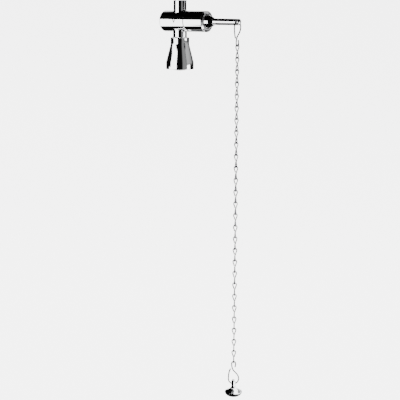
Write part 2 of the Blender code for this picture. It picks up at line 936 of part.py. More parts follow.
def shower_bell():
    shoulder = arc(
        (BELL_COLLAR_R - BELL_SHOULDER, BELL_TOP - BELL_SHOULDER), BELL_SHOULDER, 90, 0, 3
    )
    turned(
        "shower_bell",
        [
            (NIPPLE_R + GAP, BELL_TOP),
            *shoulder,
            (BELL_COLLAR_R, BELL_COLLAR_BOTTOM),
            (BELL_RIM_R, BELL_RIM_TOP),
            (BELL_RIM_R, BELL_BOTTOM + BELL_RIM_ROUND),
            (BELL_RIM_R - BELL_RIM_ROUND, BELL_BOTTOM),
            (PLATE_SEAT_R, BELL_BOTTOM),
            (PLATE_SEAT_R, PLATE_SEAT_TOP),
            (BELL_ROOM_STEP_R, PLATE_SEAT_TOP),
            (BELL_ROOM_STEP_R, BELL_ROOM_STEP),
            (BELL_ROOM_TOP_R, BELL_ROOM_CONE),
            (BELL_ROOM_TOP_R, BELL_ROOM_TOP),
            (BELL_NECK_BORE_R, BELL_ROOM_TOP),
            (BELL_NECK_BORE_R, GASKET_BOTTOM - GAP),
            (NIPPLE_R + GAP, GASKET_BOTTOM - GAP),
        ],
        CHROME,
        ring=True,
        steps=FINE,
    )


def dome_height(r):
    """Height of the spray plate's lower face at a radius."""
    return SPRAY_LOW + SPRAY_DOME_R - math.sqrt(SPRAY_DOME_R**2 - r**2)


def spray_plate():
    radii = [SPRAY_PLATE_R * i / 4 for i in range(5)]
    upper = [(r, dome_height(r) + SPRAY_THICK) for r in radii]
    lower = [(r, dome_height(r)) for r in reversed(radii)]
    plate = turned("spray_plate", upper + lower, SATIN, steps=24)
    for ring, (radius, count) in enumerate(SPRAY_RINGS):
        for i in range(count):
            angle = 2 * math.pi * (i + 0.5 * (ring % 2)) / count
            x, y = radius * math.cos(angle), radius * math.sin(angle)
            low = dome_height(radius) - 2 * MM
            hole = rod(
                f"spray_hole_{ring + 1}_{i + 1:02d}",
                SPRAY_HOLE_R,
                (x, y, low),
                (x, y, low + SPRAY_THICK + 4 * MM),
                6,
                collection=CUTTERS,
            )
            cut(plate, hole)
    seal_top = PLATE_SEAT_TOP - GAP
    seal_bottom = dome_height(SPRAY_PLATE_R) + SPRAY_THICK + GAP
    turned(
        "spray_plate_seal",
        [
            (SPRAY_SEAL_INNER_R, seal_top),
            (SPRAY_PLATE_R, seal_top),
            (SPRAY_PLATE_R, seal_bottom),
            (SPRAY_SEAL_INNER_R, seal_bottom),
        ],
        RUBBER,
        ring=True,
        steps=24,
    )


def build():
    valve_body()
    end_plug()
    coil("closing_spring", CLOSING_SPRING_R, CLOSING_WIRE_R, PLUG_INNER + GAP, DISC_BACK - GAP, 4)
    bonnet()
    gland_nut()
    coil(
        "return_spring",
        RETURN_SPRING_R,
        RETURN_WIRE_R,
        SPRING_ROOM_START + GAP,
        PLATE_START - GAP,
        6,
    )
    retaining_ring()
    stem_group()
    lever = lever_group()
    chain(lever)
    head_nipple()
    shower_bell()
    spray_plate()


build()
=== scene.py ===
"""Looks of the emergency safety shower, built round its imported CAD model."""

import math

import bmesh
import bpy
from mathutils import Matrix, Vector
from mathutils.kdtree import KDTree


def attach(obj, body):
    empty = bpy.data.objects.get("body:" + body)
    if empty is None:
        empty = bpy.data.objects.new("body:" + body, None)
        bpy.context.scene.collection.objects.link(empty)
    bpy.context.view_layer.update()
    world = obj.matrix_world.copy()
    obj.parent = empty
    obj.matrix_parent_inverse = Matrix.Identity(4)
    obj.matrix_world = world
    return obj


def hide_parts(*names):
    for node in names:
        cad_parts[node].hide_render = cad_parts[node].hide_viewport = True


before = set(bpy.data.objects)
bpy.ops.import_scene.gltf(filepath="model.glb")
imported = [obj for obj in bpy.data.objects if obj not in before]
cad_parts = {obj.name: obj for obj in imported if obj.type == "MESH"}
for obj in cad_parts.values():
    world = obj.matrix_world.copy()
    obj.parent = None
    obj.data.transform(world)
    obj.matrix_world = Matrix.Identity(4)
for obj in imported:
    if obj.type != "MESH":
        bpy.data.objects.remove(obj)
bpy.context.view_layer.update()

MM = 0.001
GAP = 0.3 * MM
AXIS_Z = -40 * MM  # height of the valve's axis
HANG_X = 136 * MM  # the chain hangs below this point of the lever
BODY_R = 20 * MM
INLET_R = 12.65 * MM
OUTLET_R = 13.6 * MM
OUTLET_BOTTOM = -70.5 * MM
STUB_FILLET = 2.2 * MM
PIPE_BORE_R = 9.3 * MM
CHAMBER_R = 15 * MM
SPIGOT_R = 14.7 * MM  # the plug and the bonnet's spigot, inside the chambers
SEAL_GROOVE_R = 12.9 * MM

ROUND = 128  # sides of the large turned pieces


# ---------------------------------------------------------------- node helpers


def node(tree, kind, **settings):
    made = tree.nodes.new(kind)
    for name, value in settings.items():
        setattr(made, name, value)
    return made


def maths(tree, operation, a, b=None):
    made = node(tree, "ShaderNodeMath", operation=operation)
    for socket, value in zip(made.inputs, (a, b)):
        if value is None:
            continue
        if isinstance(value, (int, float)):
            socket.default_value = value
        else:
            tree.links.new(value, socket)
    return made.outputs[0]


def ramp(tree, value, low, high, to_low=0.0, to_high=1.0):
    """A smooth step from one level to the other as the value goes from low to high."""
    made = node(tree, "ShaderNodeMapRange", interpolation_type="SMOOTHSTEP")
    tree.links.new(value, made.inputs["Value"])
    made.inputs["From Min"].default_value = low
    made.inputs["From Max"].default_value = high
    made.inputs["To Min"].default_value = to_low
    made.inputs["To Max"].default_value = to_high
    return made.outputs["Result"]


def noise(tree, vector, scale, detail, roughness=0.5):
    made = node(tree, "ShaderNodeTexNoise")
    made.inputs["Scale"].default_value = scale
    made.inputs["Detail"].default_value = detail
    made.inputs["Roughness"].default_value = roughness
    tree.links.new(vector, made.inputs["Vector"])
    return made.outputs["Fac"]


def stretched(tree, vector, scale):
    made = node(tree, "ShaderNodeMapping")
    made.inputs["Scale"].default_value = scale
    tree.links.new(vector, made.inputs["Vector"])
    return made.outputs["Vector"]


def bump(tree, height, depth, normal=None):
    """A bump whose height of 0..1 is that many metres deep."""
    made = node(tree, "ShaderNodeBump")
    made.inputs["Strength"].default_value = 1.0
    made.inputs["Distance"].default_value = depth
    tree.links.new(height, made.inputs["Height"])
    if normal is not None:
        tree.links.new(normal, made.inputs["Normal"])
    return made.outputs["Normal"]


def blend_colours(tree, factor, low, high):
    made = node(tree, "ShaderNodeMix", data_type="RGBA")
    tree.links.new(factor, made.inputs[0])
    made.inputs[6].default_value = (*low, 1)
    made.inputs[7].default_value = (*high, 1)
    return made.outputs[2]


def new_material(name, metallic=1.0):
    material = bpy.data.materials.new(name)
    material.use_nodes = True
    tree = material.node_tree
    shader = tree.nodes["Principled BSDF"]
    shader.inputs["Metallic"].default_value = metallic
    place = node(tree, "ShaderNodeTexCoord").outputs["Object"]
    return material, tree, shader, place


def plated(name, low, high, gloss, wave=4e-6, grain=0.5e-6, scratch=0.25e-6):
    """Bright plating: faint casting waves, polishing marks and a slightly uneven gloss, in the colours
    given; the wire's dark colours are painted shade.
    """
    material, tree, shader, place = new_material(name)
    tint = noise(tree, place, 45, 3)
    tree.links.new(blend_colours(tree, tint, low, high), shader.inputs["Base Color"])
    smudge = noise(tree, place, 110, 5, 0.6)
    tree.links.new(ramp(tree, smudge, 0.35, 0.75, *gloss), shader.inputs["Roughness"])
    waves = bump(tree, noise(tree, place, 70, 1), wave)
    fine = bump(tree, noise(tree, place, 900, 3), grain, waves)
    marks = noise(tree, stretched(tree, place, (120, 2500, 2500)), 1, 2)
    tree.links.new(bump(tree, marks, scratch, fine), shader.inputs["Normal"])
    return material


def satin(name, low, high, gloss, mottle_scale, depth):
    """Matt plating, mottled by handling and by its blasted grain; the V mark's near-black colours are
    painted shade.
    """
    material, tree, shader, place = new_material(name)
    mottle = noise(tree, place, mottle_scale, 6, 0.65)
    tree.links.new(
        blend_colours(tree, ramp(tree, mottle, 0.3, 0.7), low, high), shader.inputs["Base Color"]
    )
    tree.links.new(ramp(tree, mottle, 0.3, 0.7, *gloss), shader.inputs["Roughness"])
    coarse = bump(tree, noise(tree, place, mottle_scale * 1.6, 4), depth)
    fine = bump(tree, noise(tree, place, 3500, 2), depth * 0.1, coarse)
    tree.links.new(fine, shader.inputs["Normal"])
    return material


def turned_metal(name, low, high, gloss):
    """Machined metal with fine tool rings."""
    material, tree, shader, place = new_material(name)
    stain = noise(tree, place, 160, 4)
    tree.links.new(blend_colours(tree, stain, low, high), shader.inputs["Base Color"])
    tree.links.new(ramp(tree, noise(tree, place, 400, 4), 0.3, 0.7, *gloss), shader.inputs["Roughness"])
    rings = noise(tree, stretched(tree, place, (6000, 300, 3000)), 1, 2)
    tree.links.new(bump(tree, rings, 1.5e-6), shader.inputs["Normal"])
    return material


def rubber_material():
    material, tree, shader, place = new_material("rubber", metallic=0.0)
    bloom = noise(tree, place, 250, 4)
    tree.links.new(
        blend_colours(tree, bloom, (0.018, 0.018, 0.018), (0.045, 0.044, 0.042)),
        shader.inputs["Base Color"],
    )
    tree.links.new(ramp(tree, bloom, 0.3, 0.7, 0.62, 0.85), shader.inputs["Roughness"])
    tree.links.new(bump(tree, noise(tree, place, 1800, 3), 6e-6), shader.inputs["Normal"])
    return material


def ring_material():
    """The retaining ring: a matt, mottled face inside a polished chamfer and rim."""
    material, tree, shader, place = new_material("ring_finish")
    split = node(tree, "ShaderNodeSeparateXYZ")
    tree.links.new(place, split.inputs[0])
    height = maths(tree, "SUBTRACT", split.outputs["Z"], AXIS_Z)
    squares = maths(
        tree, "ADD", maths(tree, "POWER", split.outputs["Y"], 2), maths(tree, "POWER", height, 2)
    )
    radius = maths(tree, "SQRT", squares)
    polished = ramp(tree, radius, 16.2 * MM, 16.9 * MM)
    mottle = ramp(tree, noise(tree, place, 420, 5, 0.7), 0.32, 0.68)
    face = blend_colours(tree, mottle, (0.2, 0.2, 0.205), (0.75, 0.75, 0.76))
    mixed = node(tree, "ShaderNodeMix", data_type="RGBA")
    tree.links.new(polished, mixed.inputs[0])
    tree.links.new(face, mixed.inputs[6])
    mixed.inputs[7].default_value = (0.88, 0.89, 0.9, 1)
    tree.links.new(mixed.outputs[2], shader.inputs["Base Color"])
    matt = ramp(tree, mottle, 0, 1, 0.38, 0.5)
    gloss = node(tree, "ShaderNodeMix", data_type="FLOAT")
    tree.links.new(polished, gloss.inputs[0])
    tree.links.new(matt, gloss.inputs[2])
    gloss.inputs[3].default_value = 0.07
    tree.links.new(gloss.outputs[0], shader.inputs["Roughness"])
    grain = maths(tree, "MULTIPLY", mottle, maths(tree, "SUBTRACT", 1.0, polished))
    tree.links.new(bump(tree, grain, 40e-6), shader.inputs["Normal"])
    return material


CHROME = plated("chrome_body", (0.86, 0.865, 0.875), (0.93, 0.935, 0.94), (0.03, 0.075))
# The hooks' and the chain's chrome, painted far darker than the body's chrome: painted shade, not the
# wire's own colour.
SHADED_WIRE = plated("chrome_wire_painted_shade", (0.11, 0.112, 0.116), (0.2, 0.203, 0.208), (0.1, 0.22), 3e-6, 1.2e-6)
# The V mark's floor, painted near black: painted shade in the shallow groove, not a colour the chrome has.
SHADED_MARK = satin("mark_floor_painted_shade", (0.012, 0.012, 0.012), (0.03, 0.03, 0.03), (0.5, 0.65), 700, 8e-6)
RING = ring_material()
SATIN = satin("satin_nickel", (0.5, 0.5, 0.51), (0.72, 0.72, 0.73), (0.2, 0.32), 260, 6e-6)
BRASS = turned_metal("brass", (0.62, 0.44, 0.18), (0.82, 0.64, 0.33), (0.18, 0.34))
STEEL = turned_metal("spring_steel", (0.5, 0.51, 0.52), (0.68, 0.69, 0.7), (0.16, 0.3))
RUBBER = rubber_material()


# ---------------------------------------------------------------- mesh helpers


def soften(points, radius, steps=3, closed=False):
    """A profile with every corner rounded by up to the radius."""
    count = len(points)
    out = []
    for i, (r, h) in enumerate(points):
        ends = not closed and i in (0, count - 1)
        before = Vector(points[i - 1])
        after = Vector(points[(i + 1) % count])
        here = Vector((r, h))
        if ends:
            out.append((r, h))
            continue
        back, on = before - here, after - here
        turn = math.pi - back.angle(on)
        if turn < math.radians(20):
            out.append((r, h))
            continue
        reach = min(radius * math.tan(turn / 2), back.length * 0.45, on.length * 0.45)
        start = here + back.normalized() * reach
        end = here + on.normalized() * reach
        for k in range(steps + 1):
            t = k / steps
            point = start * (1 - t) ** 2 + here * 2 * t * (1 - t) + end * t * t
            out.append((point.x, point.y))
    return out


def split_long(points, longest):
    """A profile whose straight stretches are cut into shorter ones."""
    out = []
    for start, end in zip(points, points[1:]):
        a, b = Vector(start), Vector(end)
        pieces = max(1, math.ceil((b - a).length / longest))
        out += [tuple(a.lerp(b, k / pieces)) for k in range(pieces)]
    out.append(points[-1])
    return out


def arc(centre, radius, start, end, steps):
    """Points round a centre, from one angle in degrees to another."""
    points = []
    for i in range(steps + 1):
        a = math.radians(start + (end - start) * i / steps)
        points.append((centre[0] + radius * math.cos(a), centre[1] + radius * math.sin(a)))
    return points


def bezier(p0, p1, p2, p3, steps):
    """Points after p0 along a cubic curve, up to and with p3."""
    points = []
    for i in range(1, steps + 1):
        t = i / steps
        s = 1 - t
        weights = (s**3, 3 * s * s * t, 3 * s * t * t, t**3)
        points.append(
            tuple(sum(w * p[k] for w, p in zip(weights, (p0, p1, p2, p3))) for k in range(2))
        )
    return points


def add_piece(name, form, materials):
    """An object from the form, smooth, and facing outward if the form is closed."""
    bmesh.ops.recalc_face_normals(form, faces=form.faces)
    if all(edge.is_manifold for edge in form.edges) and form.calc_volume(signed=True) < 0:
        bmesh.ops.reverse_faces(form, faces=form.faces)
    for face in form.faces:
        face.smooth = True
    mesh = bpy.data.meshes.new(name)
    form.to_mesh(mesh)
    form.free()
    piece = bpy.data.objects.new(name, mesh)
    bpy.context.scene.collection.objects.link(piece)
    for material in materials:
        mesh.materials.append(material)
    return piece


def skin(form, rings, closed=False):
    """Faces between each ring of vertices and the next, and from last to first if they run round."""
    count = len(rings)
    for i in range(count if closed else count - 1):
        lower, upper = rings[i], rings[(i + 1) % count]
        sides = max(len(lower), len(upper))
        for k in range(sides):
            n = (k + 1) % sides
            if len(lower) == 1:
                form.faces.new((lower[0], upper[n], upper[k]))
            elif len(upper) == 1:
                form.faces.new((lower[k], lower[n], upper[0]))
            else:
                form.faces.new((lower[k], lower[n], upper[n], upper[k]))


def loft(form, rings, closed=False):
    """Skins the rings, and closes the ends unless the rings run round."""
    skin(form, rings, closed)
    if not closed:
        for ring in (rings[0], rings[-1]):
            if len(ring) > 2:
                form.faces.new(ring)


def turned_rings(form, profile, sides, along_x=False, axis_x=0.0):
    """Rings of vertices from (radius, place along the axis), with one vertex on the axis itself."""
    rings = []
    for r, h in profile:
        ring = []
        for k in range(sides if r > 1e-7 else 1):
            a = 2 * math.pi * k / sides
            if along_x:
                place = (h, r * math.cos(a), AXIS_Z + r * math.sin(a))
            else:
                place = (axis_x + r * math.cos(a), r * math.sin(a), h)
            ring.append(form.verts.new(place))
        rings.append(ring)
    return rings


def lathe(name, profile, materials, sides=ROUND, along_x=False, axis_x=0.0, closed=False):
    """A turned piece from (radius, place along the axis)."""
    form = bmesh.new()
    loft(form, turned_rings(form, profile, sides, along_x, axis_x), closed)
    return add_piece(name, form, materials)


def bar(name, radius, start, end, sides, material):
    """A plain cylinder, used for cutting."""
    start, end = Vector(start), Vector(end)
    form = bmesh.new()
    bmesh.ops.create_cone(
        form, cap_ends=True, segments=sides, radius1=radius, radius2=radius, depth=(end - start).length
    )
    turn = (end - start).to_track_quat("Z", "Y").to_matrix().to_4x4()
    form.transform(Matrix.Translation((start + end) / 2) @ turn)
    return add_piece(name, form, [material])


def combine(target, operation, *tools):
    """Adds or cuts the tools, and removes them."""
    for tool in tools:
        boolean = target.modifiers.new("combine", "BOOLEAN")
        boolean.operation = operation
        boolean.solver = "EXACT"
        boolean.material_mode = "TRANSFER"
        boolean.object = tool
    settle(target)
    for tool in tools:
        bpy.data.objects.remove(tool, do_unlink=True)
    return target


def settle(piece):
    """Replaces a piece's mesh by what its modifiers make of it."""
    graph = bpy.context.evaluated_depsgraph_get()
    mesh = bpy.data.meshes.new_from_object(
        piece.evaluated_get(graph), preserve_all_data_layers=True, depsgraph=graph
    )
    mesh.name = piece.name
    piece.modifiers.clear()
    piece.data = mesh
    return piece


def crisp(piece, angle=32):
    """Smooth shading that keeps corners and lets the large faces set the normals."""
    form = bmesh.new()
    form.from_mesh(piece.data)
    for face in form.faces:
        face.smooth = True
    for edge in form.edges:
        if len(edge.link_faces) == 2:
            edge.smooth = edge.calc_face_angle(0) < math.radians(angle)
    form.to_mesh(piece.data)
    form.free()
    weigh = piece.modifiers.new("even", "WEIGHTED_NORMAL")
    weigh.keep_sharp = True
    weigh.weight = 50
    return settle(piece)


def put(piece, body, node_name):
    """Sets the piece on its body in place of a CAD node."""
    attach(piece, body)
    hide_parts(node_name)


# ---------------------------------------------------------------- valve body


def stub(name, radius, end_z, way):
    """An inlet or outlet stub that flares into the barrel, with the flare's points and normals."""
    big, small = BODY_R + STUB_FILLET, radius + STUB_FILLET
    flare_steps, edge = 10, 0.5 * MM
    form = bmesh.new()
    rings = [[] for _ in range(flare_steps + 6)]
    known = []
    for k in range(ROUND):
        a = 2 * math.pi * k / ROUND
        c, s = math.cos(a), math.sin(a)
        lift = math.sqrt(big**2 - (small * s) ** 2)
        centre = Vector((small * c, small * s, AXIS_Z + way * lift))
        first = Vector((radius * c, radius * s, centre.z))
        last = Vector((centre.x, centre.y * BODY_R / big, AXIS_Z + way * lift * BODY_R / big))
        points = [
            Vector(((radius - edge) * c, (radius - edge) * s, end_z)),
            Vector(((radius - edge * 0.3) * c, (radius - edge * 0.3) * s, end_z - way * edge * 0.3)),
            Vector((radius * c, radius * s, end_z - way * edge)),
            Vector((radius * c, radius * s, (end_z - way * edge) * 0.5 + centre.z * 0.5)),
        ]
        from_first, from_last = first - centre, last - centre
        angle = from_first.angle(from_last)
        for i in range(flare_steps + 1):
            t = i / flare_steps
            mix = from_first * math.sin((1 - t) * angle) + from_last * math.sin(t * angle)
            mix /= math.sin(angle)
            points.append(centre + mix)
            known.append((centre + mix, -mix.normalized()))
        points.append(Vector((last.x, last.y * 0.9, AXIS_Z + (last.z - AXIS_Z) * 0.9)))
        for ring, point in zip(rings, points):
            ring.append(form.verts.new(point))
    loft(form, rings)
    bmesh.ops.triangulate(form, faces=[f for f in form.faces if len(f.verts) > 4])
    return add_piece(name, form, [CHROME]), known


def flow_mark():
    """The cutter of the shallow V that points along the flow, whose faces give the V its near-black floor
    of painted shade.
    """
    half, stroke, depth = 4 * MM, 1.6 * MM, 0.7 * MM
    outline = [
        (-half, half),
        (0, -half),
        (half, half),
        (half - 1.3 * stroke, half),
        (0, -half + 2.7 * stroke),
        (-half + 1.3 * stroke, half),
    ]
    form = bmesh.new()
    front = [form.verts.new((x, -BODY_R - 2 * MM, AXIS_Z + z)) for x, z in outline]
    back = [form.verts.new((x, -BODY_R + depth, AXIS_Z + z)) for x, z in outline]
    form.faces.new(front)
    form.faces.new(back)
    for i in range(6):
        n = (i + 1) % 6
        form.faces.new((front[i], front[n], back[n], back[i]))
    return add_piece("flow_mark", form, [SHADED_MARK])


def threaded_cutter(name, low, high, minor, major, pitch):
    """A bore's cutter with rings that stand in for its thread."""
    profile = [(0, low), (minor, low)]
    turns = int((high - low - 1 * MM) / pitch)
    for i in range(turns):
        base = low + 0.8 * MM + i * pitch
        profile += [(minor, base), (major, base + pitch * 0.45), (major, base + pitch * 0.55)]
    profile += [(minor, high - 0.3 * MM), (minor, high), (0, high)]
    return lathe(name, profile, [CHROME], 64)


def aim_body_normals(piece, known):
    """Exact normals for the body's round surfaces, so that its reflections run clean."""
    tree = KDTree(len(known))
    for i, (point, _) in enumerate(known):
        tree.insert(point, i)
    tree.balance()
    mesh = piece.data
    normals = [None] * len(mesh.loops)
    slack = 0.06 * MM
    for face in mesh.polygons:
        face.use_smooth = True
        middle, flat = face.center, face.normal
        off = Vector((0, middle.y, middle.z - AXIS_Z))
        from_pipe = Vector((middle.x, middle.y, 0))
        on_barrel = abs(off.length - BODY_R) < slack * 2 and flat.dot(off.normalized()) > 0.97
        across = Vector((flat.x, flat.y, 0))
        near = tree.find(middle)[2] < 0.9 * MM
        outside = middle.z > AXIS_Z + BODY_R * 0.7 or middle.z < AXIS_Z - BODY_R * 0.7
        for i in face.loop_indices:
            place = mesh.vertices[mesh.loops[i].vertex_index].co
            if on_barrel:
                normal = Vector((0, place.y, place.z - AXIS_Z))
            elif near and outside and from_pipe.length > INLET_R - 1 * MM:
                found = tree.find_n(place, 4)
                normal = Vector((0, 0, 0))
                for _, index, distance in found:
                    normal += known[index][1] / (distance + 1e-6)
                if normal.normalized().dot(flat) < 0.8:
                    normal = flat.copy()
            elif outside and from_pipe.length > 8 * MM and across.length > 0.3:
                away = Vector((place.x, place.y, 0)).normalized()
                if across.dot(away) < 0:
                    away = -away
                normal = away * across.length + Vector((0, 0, flat.z))
            elif abs(flat.x) < 0.95 and off.length > 1 * MM:
                away = Vector((0, place.y, place.z - AXIS_Z)).normalized()
                along = Vector((0, flat.y, flat.z))
                if along.dot(away) < 0:
                    away = -away
                normal = away * along.length + Vector((flat.x, 0, 0))
                if normal.normalized().dot(flat) < 0.9:
                    normal = flat.copy()
            else:
                normal = flat.copy()
            normals[i] = normal.normalized()
    mesh.normals_split_custom_set(normals)


def valve_body():
    left, right, chamfer, seam = -36 * MM, 22 * MM, 1.5 * MM, 0.9 * MM
    outline = [
        (0, right),
        (BODY_R - seam, right),
        (BODY_R, right - seam),
        (BODY_R, left + chamfer),
        (BODY_R - chamfer * 0.3, left + chamfer * 0.3),
        (BODY_R - chamfer, left),
        (0, left),
    ]
    profile = outline[:2] + split_long(outline[2:4], 1.5 * MM) + outline[4:]
    body = lathe("valve_body_shell", profile, [CHROME], along_x=True)
    top, known_top = stub("inlet_stub", INLET_R, 0.0, 1)
    low, known_low = stub("outlet_neck", OUTLET_R, OUTLET_BOTTOM, -1)
    combine(body, "UNION", top, low)
    wall, far = 3 * MM, 3 * MM
    seat_r, port_r, port_x = 7.5 * MM, 3.2 * MM, 5.6 * MM
    port_start = 12 * MM  # from the valve's axis
    combine(
        body,
        "DIFFERENCE",
        bar("cut_1", CHAMBER_R, (left - far, 0, AXIS_Z), (-wall, 0, AXIS_Z), 64, CHROME),
        bar("cut_2", CHAMBER_R, (wall, 0, AXIS_Z), (right + far, 0, AXIS_Z), 64, CHROME),
        bar("cut_3", seat_r, (-2 * wall, 0, AXIS_Z), (2 * wall, 0, AXIS_Z), 48, CHROME),
        threaded_cutter("cut_4", -16 * MM, 1.5 * MM, PIPE_BORE_R, 10.3 * MM, 1.8 * MM),
        bar("cut_5", PIPE_BORE_R, (0, 0, -60 * MM), (0, 0, OUTLET_BOTTOM - far), 64, CHROME),
        bar("cut_6", port_r, (-port_x, 0, AXIS_Z + port_start), (-port_x, 0, -14 * MM), 32, CHROME),
        bar("cut_7", port_r, (port_x, 0, AXIS_Z - port_start), (port_x, 0, -62 * MM), 32, CHROME),
        flow_mark(),
    )
    aim_body_normals(body, known_top + known_low)
    put(body, "valve", "valve_body")


# ---------------------------------------------------------------- plug, bonnet and ring


def end_plug():
    face, inner = -35.5 * MM, -28 * MM
    groove_start, groove_end = -30.8 * MM, -33.2 * MM
    outline = [
        (0, inner),
        (SPIGOT_R, inner),
        (SPIGOT_R, groove_start),
        (SEAL_GROOVE_R, groove_start),
        (SEAL_GROOVE_R, groove_end),
        (SPIGOT_R, groove_end),
        (SPIGOT_R, face),
        (0, face),
    ]
    plug = lathe("end_plug_turned", soften(outline, 0.4 * MM), [CHROME], 96, along_x=True)
    socket = bar("socket", 5 * MM, (face - 1 * MM, 0, AXIS_Z), (face + 4 * MM, 0, AXIS_Z), 6, CHROME)
    combine(plug, "DIFFERENCE", socket)
    put(crisp(plug), "valve", "end_plug")


def bonnet():
    start, end, spigot_start, seam = 22.3 * MM, 64.2 * MM, 12 * MM, 0.9 * MM
    groove_start, groove_end = 15 * MM, 17.4 * MM
    stem_bore_r = 4.3 * MM
    gland_r, gland = 7.6 * MM, 24 * MM
    spring_room_r, spring_room = 15.4 * MM, 32 * MM
    counterbore_r, counterbore = 17.5 * MM, 57.7 * MM
    outline = [
        (counterbore_r, end),
        (BODY_R, end),
        (BODY_R, start + seam),
        (BODY_R - seam, start),
        (SPIGOT_R, start),
        (SPIGOT_R, groove_end),
        (SEAL_GROOVE_R, groove_end),
        (SEAL_GROOVE_R, groove_start),
        (SPIGOT_R, groove_start),
        (SPIGOT_R, spigot_start),
        (stem_bore_r, spigot_start),
        (stem_bore_r, gland),
        (gland_r, gland),
        (gland_r, spring_room),
        (spring_room_r, spring_room),
        (spring_room_r, counterbore),
        (counterbore_r, counterbore),
    ]
    shell = lathe(
        "bonnet_turned", soften(outline, 0.3 * MM, closed=True), [CHROME], along_x=True, closed=True
    )
    put(crisp(shell), "valve", "bonnet")


def retaining_ring():
    bore, back, face = 13.8 * MM, 64.2 * MM, 66.5 * MM
    chamfer_r, chamfer = 16.5 * MM, 65 * MM
    skirt_r, skirt_bore, skirt = 17.2 * MM, 15.4 * MM, 58 * MM
    outline = [
        (bore, face),
        (chamfer_r, face),
        (BODY_R, chamfer),
        (BODY_R, back + GAP),
        (skirt_r, back + GAP),
        (skirt_r, skirt),
        (skirt_bore, skirt),
        (skirt_bore, back),
        (bore, back),
    ]
    ring = lathe(
        "retaining_ring_turned", soften(outline, 0.25 * MM, closed=True), [RING], along_x=True, closed=True
    )
    put(crisp(ring), "valve", "retaining_ring")


# ---------------------------------------------------------------- lever


def lever():
    rod_r, shank, flange = 6.35 * MM, 12.9 * MM, 14.6 * MM
    flange_start, flange_end = 60.9 * MM, 63.9 * MM
    rod_start, rod_end, end_r = 82.6 * MM, 142.2 * MM, 6 * MM
    stud_r, stud_start = 4 * MM, 67 * MM
    stud_hole_r, stud_hole = 4.3 * MM, 66.4 * MM
    seat = rod_start - GAP
    edge, burr = 0.3 * MM, 0.15 * MM
    nose_start = (6.5 * MM, seat - burr)
    nose = bezier(nose_start, (9.5 * MM, 78.6 * MM), (11.65 * MM, 72.4 * MM), (shank, 66.5 * MM), 40)
    head = lathe(
        "lever_head_turned",
        [
            (0, stud_hole),
            (stud_hole_r, stud_hole),
            (stud_hole_r, seat),
            (rod_r, seat),
            nose_start,
            *nose,
            (shank, flange_end),
            (flange - edge, flange_end),
            (flange, flange_end - edge),
            (flange, flange_start + edge),
            (flange - edge, flange_start),
            (0, flange_start),
        ],
        [CHROME],
        along_x=True,
    )
    put(crisp(head), "lever", "lever_head")

    crown, crown_r = 9 * MM, 4.6 * MM
    drop = crown - math.sqrt(crown**2 - crown_r**2)
    radii = [crown_r * i / 8 for i in range(9)]
    tip = [(r, rod_end - crown + math.sqrt(crown**2 - r**2)) for r in radii]
    tip += bezier(
        tip[-1],
        (end_r - 0.5 * MM, rod_end - drop - 0.5 * MM),
        (end_r, rod_end - 2 * MM),
        (end_r, rod_end - 3 * MM),
        8,
    )
    stick = lathe(
        "lever_stick",
        [
            *tip,
            (end_r + 0.12 * MM, 125 * MM),
            (rod_r, rod_start + burr),
            (rod_r - burr, rod_start),
            (stud_r, rod_start),
            (stud_r, stud_start),
            (0, stud_start),
        ],
        [CHROME],
        96,
        along_x=True,
    )
    hole_r, far = 2.7 * MM, 2 * rod_r
    hole = bar("hole", hole_r, (HANG_X, -far, AXIS_Z), (HANG_X, far, AXIS_Z), 48, CHROME)
    combine(stick, "DIFFERENCE", hole)
    put(crisp(stick), "lever", "lever_rod")


# ---------------------------------------------------------------- wire pieces


def wire_mesh(points, radius, sides):
    """A round wire along the points, with softly cut ends."""
    form = bmesh.new()
    rings = []

    def add_ring(centre, r):
        ring = []
        for k in range(sides):
            a = 2 * math.pi * k / sides
            ring.append(form.verts.new(centre + (side * math.cos(a) + up * math.sin(a)) * r))
        rings.append(ring)

    count = len(points)
    tangents = [
        (points[min(i + 1, count - 1)] - points[max(i - 1, 0)]).normalized() for i in range(count)
    ]
    side = tangents[0].orthogonal().normalized()
    edge = radius * 0.3
    for i, (point, along) in enumerate(zip(points, tangents)):
        side = (side - along * side.dot(along)).normalized()
        up = along.cross(side)
        if i == 0:
            add_ring(point - along * edge, radius - edge)
            add_ring(point - along * (edge * 0.3), radius - edge * 0.3)
        add_ring(point, radius)
    add_ring(points[-1] + tangents[-1] * (edge * 0.7), radius - edge * 0.3)
    add_ring(points[-1] + tangents[-1] * edge, radius - edge)
    loft(form, rings)
    return form


HOOK_R = 1.3 * MM
HOOK_HEIGHT = 45.5 * MM
LINK_R = 1.1 * MM
LINK_PITCH = 22.9 * MM
LINKS = 27
LINK_TOUCH = 2 * LINK_R + GAP
LINK_HEIGHT = LINK_PITCH + LINK_TOUCH
HOOK_TOUCH = HOOK_R + LINK_R + GAP
TWIST = math.radians(37)
UPPER_HOOK_TOP = AXIS_Z + 1.06 * MM


def hook_path():
    """The S-hook from the big loop's tip to the small loop's, as (across, down from the top)."""
    big, small = 10 * MM, 3.8 * MM
    bottom = -HOOK_HEIGHT + small
    tip = (-0.62 * big, -30.5 * MM)
    waist = (-0.75 * small, -33 * MM)
    points = [
        tip,
        *bezier(tip, (-0.95 * big, -25 * MM), (-big, -17 * MM), (-big, -big), 12),
        *arc((0, -big), big, 180, 0, 30)[1:],
        *bezier((big, -big), (big, -22 * MM), (-0.3 * small, -24 * MM), waist, 20),
        *bezier(waist, (-small, -36 * MM), (-small, -38 * MM), (-small, bottom), 6),
        *arc((0, bottom), small, 180, 360, 18)[1:],
        *bezier(
            (small, bottom),
            (small, -39 * MM),
            (0.95 * small, -36.5 * MM),
            (0.7 * small, -34.5 * MM),
            8,
        ),
    ]
    return points


def hook(name, top, yaw, body, node_name, flipped=False):
    turn = -1 if flipped else 1
    points = [Vector((a, 0, turn * d)) for a, d in hook_path()]
    form = wire_mesh(points, HOOK_R, 14)
    form.transform(Matrix.Translation((HANG_X, 0, top)) @ Matrix.Rotation(yaw, 4, "Z"))
    put(crisp(add_piece(name, form, [SHADED_WIRE]), 50), body, node_name)


